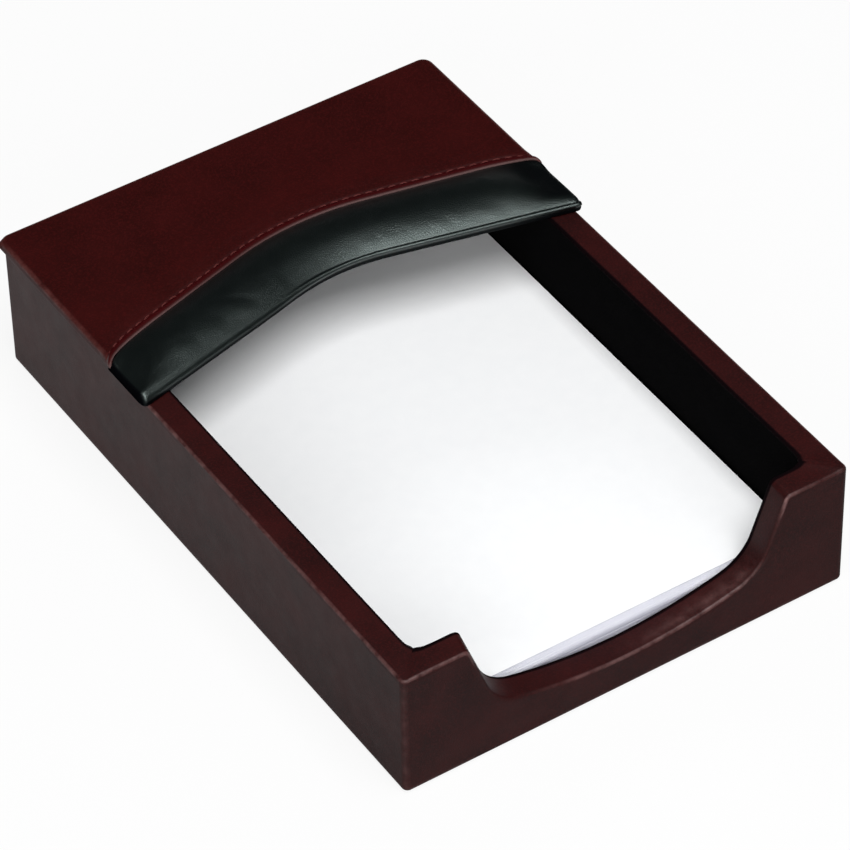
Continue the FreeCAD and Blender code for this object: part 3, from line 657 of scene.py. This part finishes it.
def lip_shape(fullness):
    """Rings of the lip's surface from its left end to its right: the profile carried between the front
    arch and the seam, each point running straight from front to rear. A soft fold crosses its left part
    askew. The crown sinks towards the ends, which are rounded, also in plan at the front."""
    plain, beaded = lip_profiles()
    turn = np.radians(np.linspace(90, 0, END_RINGS))
    end = LIP_HALF - LIP_END * (1 - np.sin(turn))
    x = np.concatenate([-end, np.linspace(-end[-1], end[-1], 151)[1:-1], end[::-1]])[:, None]
    shrink = np.zeros_like(x)
    shrink[:END_RINGS, 0] = LIP_END * (1 - np.cos(turn))
    shrink[-END_RINGS:] = shrink[:END_RINGS][::-1]
    kind = ease(x, *FRONT_CHANGE)
    behind = plain[:, 0] + (beaded[:, 0] - plain[:, 0]) * kind
    height = plain[:, 1] + (beaded[:, 1] - plain[:, 1]) * kind
    front, back = arch(x), seam(x)
    y = front + behind * (back - front) / LIP_WIDTH
    share = fullness * (CROWN_LEAST + (1 - CROWN_LEAST) * ease(LIP_HALF - np.abs(x), 1, 17))
    number = np.arange(len(plain))
    on_top = (number >= FOOT_POINTS + FRONT_POINTS) & (number < len(plain) - TAIL_POINTS)
    height = height + on_top * (crown(behind, share) + end_lump(x, y - back))
    fold = FOLD_DEPTH * bell(behind - 7.5 + 0.75 * (x + 27), FOLD_WIDTH)
    height = height - on_top * fold * ease(behind, 3, 6) * (1 - ease(behind, 9, 13))
    upper = ease(height, 36.2, CROWN_FOOT)
    height = height + shrink * (0.6 * (1 - upper) - upper)
    y = y + 1.6 * shrink * bell(behind, 3.0)
    return np.stack([x + 0 * y, y, height], -1)


PAD_SCALE = 20.0  # the cloth is worked out on a copy twenty times as large
PAD_FRAMES = 20
START_FULLNESS = 0.85  # share of the crown from which it swells
PUFF = 0.2  # furthest that the cloth may leave the drawn shape
SOFTER = 4  # how often its wrinkles are softened along the lip


def puffed(start, goal, faces, loose):
    """The goal's rings as the padding under pressure leaves them: a cloth whose front, ends and seam are
    held, cut a little too large, swells from the lower start shape with gravity off. A point stays
    within PUFF of the goal, times how loose it is there."""
    count, size = start.shape[:2]
    mesh = bpy.data.meshes.new("pad_cloth")
    mesh.from_pydata((start.reshape(-1, 3) * MM * PAD_SCALE).tolist(), [], faces)
    point_outwards(mesh)
    cloth = bpy.data.objects.new("pad_cloth", mesh)
    bpy.context.scene.collection.objects.link(cloth)
    free = np.zeros((count, size), bool)
    free[END_RINGS:-END_RINGS, FOOT_POINTS + FRONT_POINTS + 2:-TAIL_POINTS - 2] = True
    held = cloth.vertex_groups.new(name="held")
    held.add(np.flatnonzero(~free).tolist(), 1.0, "REPLACE")
    swell = cloth.modifiers.new("cloth", "CLOTH")
    swell.point_cache.frame_start, swell.point_cache.frame_end = 1, PAD_FRAMES
    rule = swell.settings
    rule.quality, rule.mass = 6, 0.3
    rule.tension_stiffness = rule.compression_stiffness = 15
    rule.shear_stiffness, rule.bending_stiffness = 5, 4
    rule.vertex_group_mass, rule.pin_stiffness = "held", 1
    rule.use_pressure, rule.uniform_pressure_force = True, 4
    rule.shrink_min = rule.shrink_max = -0.004
    rule.effector_weights.gravity = 0
    swell.collision_settings.use_collision = False
    for moment in range(1, PAD_FRAMES + 1):
        bpy.context.scene.frame_set(moment)
    result = cloth.evaluated_get(bpy.context.evaluated_depsgraph_get())
    points = np.empty(count * size * 3)
    result.data.vertices.foreach_get("co", points)
    points = points.reshape(count, size, 3) / (MM * PAD_SCALE)
    bpy.data.objects.remove(cloth)
    bpy.data.meshes.remove(mesh)
    bpy.context.scene.frame_set(1)
    moved = (points - goal) * free[..., None]
    for _ in range(SOFTER):
        moved[1:-1] = (moved[:-2] + 2 * moved[1:-1] + moved[2:]) / 4
    far = np.linalg.norm(moved, axis=-1, keepdims=True)
    return goal + moved * np.minimum(1, PUFF * loose[..., None] / np.maximum(far, 1e-9))


def padded_lip():
    """The lip, its crown puffed up by a cloth simulation. Painted shade, a near-black without gloss, lies
    on its ends, on the right end of its top and on its lower roll."""
    goal = lip_shape(1.0)
    count, size = goal.shape[:2]
    behind = (goal[..., 1] - arch(goal[..., 0])) * LIP_WIDTH / (seam(goal[..., 0]) - arch(goal[..., 0]))
    loose = ease(behind, CREASE, CREASE + 3) * (1 - ease(behind, 15, LIP_WIDTH))
    loose = loose * ease(LIP_HALF - np.abs(goal[..., 0]), 2, 8)
    faces = closed_tube(count, size)
    rings = puffed(lip_shape(START_FULLNESS), goal, faces, loose)
    x = rings[..., 0]
    # painted shade, near-black without gloss: the lip's ends, the right end of its top and its lower roll
    shade_at_ends = ease(np.abs(x), COVER_HALF - 0.7, COVER_HALF)
    shade_at_right = 0.7 * ease(x, 50, 57) * ease(behind, 2.5, 4.5)
    shade_below = 0.9 * (1 - ease(rings[..., 2], 36.8, 37.5))
    painted_shade = np.maximum(np.maximum(shade_at_ends, shade_at_right), shade_below)
    piece = make_piece("lip_pad", [(rings, faces)], "tray", LIP_LEATHER,
                       [("painted_shade", painted_shade)], sharp=60)
    smooth = piece.modifiers.new("smooth", "SUBSURF")
    smooth.levels = smooth.render_levels = 1
    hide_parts("lip_leather", "lip_padding")


padded_lip()


# --- the stitches -----------------------------------------------------------------------------------

STITCH_PITCH, STITCH_LENGTH, STITCH_RADIUS = 3.0, 2.0, 0.22
STITCH_LOW, STITCH_ARCH = -0.22, 0.20  # level of its ends in the groove, and how far it arches out


def stitch_line():
    """The line of the stitches over the cover's left side, top and right side: points and outward
    directions, STITCH_INSET behind the cut edge."""
    over = arc((-COVER_HALF + EDGE_ARRIS, COVER_TOP - EDGE_ARRIS), EDGE_ARRIS, 180, 90, 8)
    left = np.concatenate([[(-COVER_HALF, WALL_TOP + 0.3)], over])
    facing = np.concatenate([[(-1, 0)], arc((0, 0), 1, 180, 90, 8)])
    flat = np.linspace(-COVER_HALF + EDGE_ARRIS, COVER_HALF - EDGE_ARRIS, 200)[1:-1]
    across = np.concatenate([left[:, 0], flat, -left[::-1, 0]])
    height = np.concatenate([left[:, 1], np.full_like(flat, COVER_TOP), left[::-1, 1]])
    out = np.concatenate([facing, np.tile([0.0, 1.0], (len(flat), 1)), facing[::-1] * (-1, 1)])
    y = seam(across) + STITCH_INSET / math.cos(ARCH_ANGLE)
    return np.stack([across, y, height], -1), np.stack([out[:, 0], 0 * y, out[:, 1]], -1)


def stitches():
    """Each stitch is a short thread, a little flattened and askew: rings of points whose radius is about
    STITCH_RADIUS (1 - s^4)^0.5 at share s from its middle, arching up out of the groove and down into
    its needle holes."""
    line, out = stitch_line()
    run = np.concatenate([[0], np.cumsum(np.linalg.norm(np.diff(line, axis=0), axis=1))])
    middles = np.arange(STITCH_PITCH * 0.4, run[-1] - 1, STITCH_PITCH)

    def at(values, where):
        return np.stack([np.interp(where, run, values[:, k]) for k in range(3)], -1)

    def unit(vectors):
        return vectors / np.linalg.norm(vectors, axis=-1)[..., None]

    rings, corners = 9, 6
    s = np.linspace(-1, 1, rings)
    random = np.random.default_rng(3)
    sway = random.normal(0, 0.05, len(middles))
    where = middles[:, None] + s * STITCH_LENGTH / 2
    core, normal = at(line, where), unit(at(out, where))
    side = np.cross(unit(at(line, where + 0.05) - at(line, where - 0.05)), normal)
    height = STITCH_LOW + STITCH_ARCH * (1 - s**2) + random.normal(0, 0.02, len(middles))[:, None]
    core = core + normal * height[..., None] + side * (sway[:, None] * s)[..., None]
    thick = STITCH_RADIUS * np.sqrt(1 - s**4 * 0.97)
    angle = np.linspace(0, 2 * np.pi, corners + 1)[:-1, None]
    ring = side[..., None, :] * np.cos(angle) + 0.8 * normal[..., None, :] * np.sin(angle)
    points = core[..., None, :] + ring * thick[:, None, None]
    parts = [(stitch, closed_tube(rings, corners)) for stitch in points]
    piece = make_piece("seam_thread", parts, "tray", FINISHES["thread"])
    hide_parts("seam_stitching")


stitches()


# --- the sheets -------------------------------------------------------------------------------------

SHEETS = 80
SHEET_GAP = 0.002  # between two sheets
SET_BACK = 0.9  # how far the uppermost sheet is set back
TWIST = -0.0022  # how far the upper sheets are turned, in radians


def memo_sheets():
    """Thin slabs, each shifted and turned a little. The uppermost are set back more and more from the
    front."""
    random = np.random.default_rng(11)
    drift = waves(np.arange(SHEETS)[:, None] * np.array([[1.0, 0, 0]]), 30, 4) * 0.06
    shift = random.normal(0, 0.015, (SHEETS, 2)) + drift[:, None]
    level = np.arange(SHEETS) / SHEETS
    shift[:, 1] += SET_BACK * ease(level, 0.72, 1.0)
    turn = TWIST * ease(level, 0, 0.6) + random.normal(0, 0.0002, SHEETS)
    pitch = (STACK_TOP - STACK_LOW) / SHEETS
    middle = (SHEET_LEFT + SHEET_RIGHT) / 2
    x = np.array([SHEET_LEFT, SHEET_RIGHT, SHEET_RIGHT, SHEET_LEFT]) - middle
    x = x * (1 - 0.3 / SHEET_RIGHT)
    y = np.array([SHEET_FRONT + 0.2, SHEET_FRONT + 0.2, SHEET_REAR - 0.3, SHEET_REAR - 0.3])
    slabs = []
    for k in range(SHEETS):
        corners = np.stack([middle + x - turn[k] * y + shift[k, 0], y + turn[k] * x + shift[k, 1]], -1)
        low = STACK_LOW + pitch * k
        levels = [np.full(4, low), np.full(4, low + pitch - SHEET_GAP)]
        slab = np.concatenate([np.column_stack([corners, level]) for level in levels])
        slabs.append((slab, closed_tube(2, 4)))
    piece = make_piece("memo_sheet_stack", slabs, "sheets", FINISHES["paper"], sharp=30)
    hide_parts("memo_sheets")


memo_sheets()


# --- floor, light and camera ------------------------------------------------------------------------

def floor():
    """A wide pale table top, white to the camera apart from the shadow. Reflections see it white behind
    the tray and, as painted shade, greyer in front of it, to its right and close beside it."""
    half = 3.0
    mesh = bpy.data.meshes.new("table_top")
    mesh.from_pydata([(-half, -half, 0), (half, -half, 0), (half, half, 0), (-half, half, 0)], [],
                     [[0, 1, 2, 3]])
    table = bpy.data.objects.new("table_top", mesh)
    bpy.context.scene.collection.objects.link(table)
    f = Finish("table_white")
    to_camera, glossy, transmitted = (f.node("LightPath", {}, {}, k) for k in (0, 3, 6))
    across, along = (f.node("SeparateXYZ", {}, {"Vector": f.place()}, k) for k in (0, 1))
    forward = 1 - along.clipped(-0.14, 0.08)
    rightward = across.clipped(-0.02, 0.10)
    beside = across.maths("ABSOLUTE") - COVER_HALF * MM
    ahead = along.maths("ABSOLUTE") - HALF_LENGTH * MM
    close = 1 - beside.maths("MAXIMUM", ahead).clipped(0.0, 0.03)
    # painted shade for reflections: glossy rays see the floor greyer in front, to the right and close to
    # the tray
    kept = 1
    for zone, share in ((forward, 0.7), (rightward, 0.25), (close, 0.28)):
        kept = (1 - glossy * zone * share) * kept
    seen = (to_camera + glossy + transmitted).clipped(0, 1) * kept
    pale = f.node("BsdfDiffuse", {}, {"Color": kept * 0.8})
    white = f.node("Emission", {}, {"Color": (1, 1, 1, 1), "Strength": 1.0})
    f.node("OutputMaterial", {}, {"Surface": f.node("MixShader", {}, {0: seen * 0.88, 1: pale, 2: white})})
    mesh.materials.append(f.material)


def lamp(name, place, aim, size, power):
    """An oblong soft lamp at a place, turned to aim, both in metres."""
    data = bpy.data.lights.new(name, "AREA")
    data.shape, data.size, data.size_y = "RECTANGLE", *size
    data.energy = power
    lit = bpy.data.objects.new(name, data)
    bpy.context.scene.collection.objects.link(lit)
    turned = (Vector(place) - Vector(aim)).to_track_quat("Z", "Y").to_matrix().to_4x4()
    lit.matrix_world = Matrix.Translation(place) @ turned
    return lit


def world():
    """Soft even light from all round, white to the camera."""
    scene_world = bpy.data.worlds.new("studio")
    bpy.context.scene.world = scene_world
    scene_world.use_nodes = True
    tree = scene_world.node_tree
    tree.nodes.clear()
    path = tree.nodes.new("ShaderNodeLightPath")
    mixed = tree.nodes.new("ShaderNodeMixShader")
    out = tree.nodes.new("ShaderNodeOutputWorld")
    tree.links.new(path.outputs[0], mixed.inputs[0])
    for socket, colour, strength in ((1, (0.85, 0.93, 1, 1), 0.035), (2, (1, 1, 1, 1), 1.0)):
        light = tree.nodes.new("ShaderNodeBackground")
        light.inputs[0].default_value = colour
        light.inputs[1].default_value = strength
        tree.links.new(light.outputs[0], mixed.inputs[socket])
    tree.links.new(mixed.outputs[0], out.inputs[0])


PICTURE = 850  # pixels along each side
FOCAL = 4921.56  # focal length in pixels
AXIS_X, AXIS_Y = 415.78, 401.22  # pixel on the lens's axis
SENSOR = 36.0
AZIMUTH, ELEVATION, ROLL = (math.radians(a) for a in (-32.392, 42.746, -1.312))
DISTANCE, LEFTWARD, UPWARD = 1170.32, 0.333, 15.098


def camera():
    """A long lens from the front left, above, looking along AZIMUTH and ELEVATION from DISTANCE, moved
    aside by LEFTWARD and UPWARD in its own picture plane."""
    back = np.array([math.sin(AZIMUTH) * math.cos(ELEVATION), -math.cos(AZIMUTH) * math.cos(ELEVATION),
                     math.sin(ELEVATION)])
    level = np.array([math.cos(AZIMUTH), math.sin(AZIMUTH), 0])
    above = np.cross(back, level)
    across = level * math.cos(ROLL) + above * math.sin(ROLL)
    upward = above * math.cos(ROLL) - level * math.sin(ROLL)
    place = (back * DISTANCE - across * LEFTWARD + upward * UPWARD + (0, 0, WALL_FOOT)) * MM
    data = bpy.data.cameras.new("camera")
    data.sensor_width = SENSOR
    data.lens = FOCAL * SENSOR / PICTURE
    data.shift_x, data.shift_y = 0.5 - AXIS_X / PICTURE, AXIS_Y / PICTURE - 0.5
    data.clip_start, data.clip_end = 0.01, 20
    seen_from = bpy.data.objects.new("camera", data)
    bpy.context.scene.collection.objects.link(seen_from)
    columns = np.stack([across, upward, back, place], -1)
    seen_from.matrix_world = Matrix([*columns.tolist(), [0, 0, 0, 1]])
    bpy.context.scene.camera = seen_from


floor()
world()
lamp("key", (-0.01, -0.37, 1.05), (0, 0, 0.03), (0.6, 0.7), 10.8)
lamp("front_fill", (-0.63, -0.92, 0.66), (0, 0, 0.02), (2.2, 0.3), 10.5)
rear_fill = lamp("rear_fill", (0.45, 1.1, 0.4), (0, 0, 0.02), (1.0, 0.5), 6.0)
rear_fill.visible_glossy = False
camera()
bpy.context.scene.view_settings.view_transform = "Standard"
